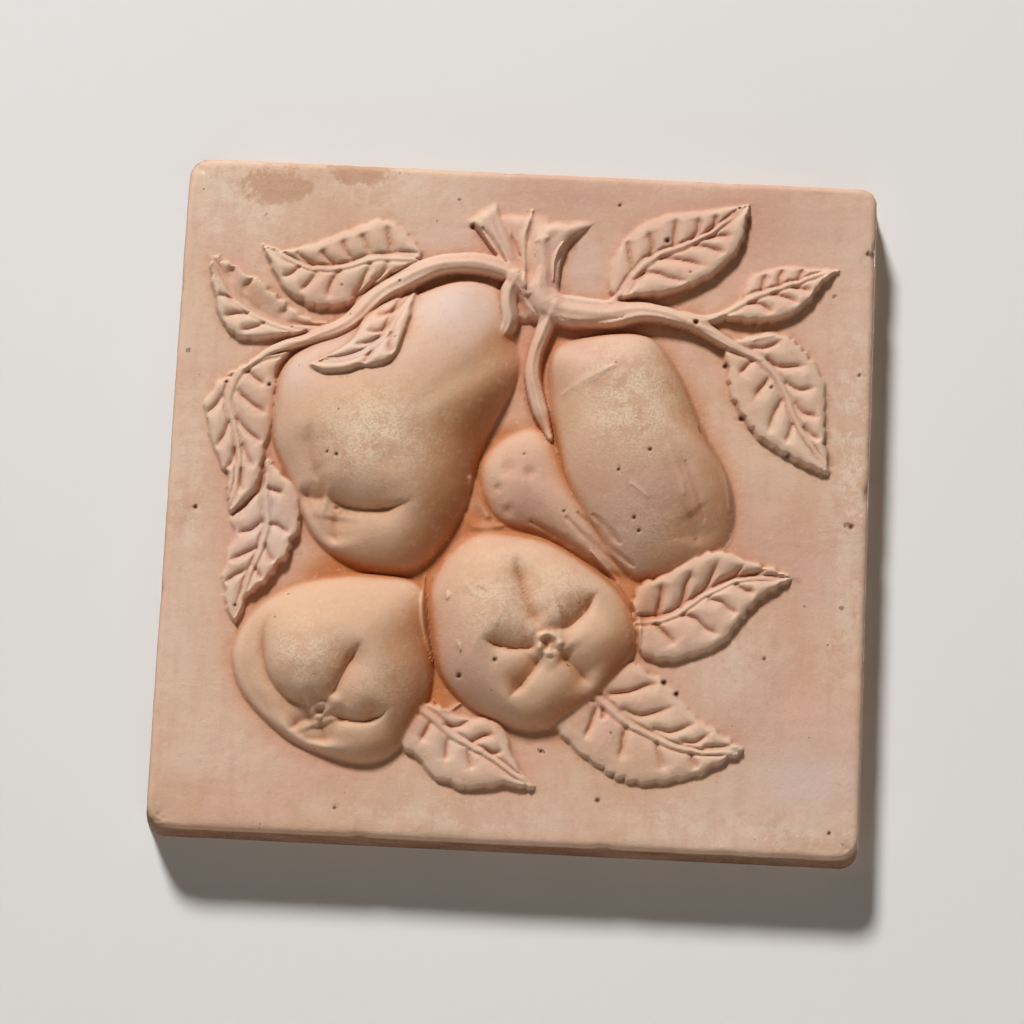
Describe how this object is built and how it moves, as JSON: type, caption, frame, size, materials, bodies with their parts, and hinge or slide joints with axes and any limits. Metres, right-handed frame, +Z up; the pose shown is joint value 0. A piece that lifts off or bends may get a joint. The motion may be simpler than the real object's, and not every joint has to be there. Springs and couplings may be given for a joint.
{
  "type": "decorative wall plaque",
  "caption": "Square fired-clay wall plaque with a high relief of pears, quinces, leaves and twigs, flat behind, with a blind slot for a nail.",
  "frame": {"origin": "middle of the flat back, which lies against the wall", "axes": "+Z up the wall, +X to the right as a viewer sees the relief, +Y into the wall, so the relief faces -Y"},
  "size_m": [0.2, 0.0335, 0.194],
  "materials": {
    "terracotta": "unglazed fired clay, matt, with a pale bloom on the high parts and darker orange in the creases"
  },
  "bodies": {
    "root": {"plaque": "terracotta"}
  },
  "joints": []
}
